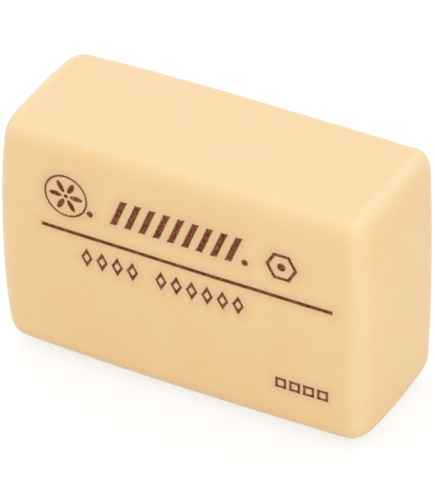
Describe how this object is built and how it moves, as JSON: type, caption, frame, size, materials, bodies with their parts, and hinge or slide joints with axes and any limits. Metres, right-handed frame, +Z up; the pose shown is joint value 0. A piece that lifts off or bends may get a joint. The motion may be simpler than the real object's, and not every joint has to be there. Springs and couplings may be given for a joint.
{
  "type": "block eraser",
  "caption": "Soft rubber eraser block with rounded edges, gently bowed faces and a plain stamped pattern on one face.",
  "frame": {"origin": "middle of the flat underside, with the block on its long narrow side", "axes": "+X along the length, from the ring end of the stamped pattern to the other end; +Y from the stamped face to the back; +Z up"},
  "size_m": [0.057, 0.0227, 0.037],
  "materials": {
    "soft_rubber": "matte, soft, cream to pale tan, with faint mottling",
    "stamp_ink": "dark red-brown stamping ink, dry and slightly broken"
  },
  "bodies": {
    "root": {"eraser_block": "soft_rubber", "face_print": "stamp_ink"}
  },
  "joints": []
}
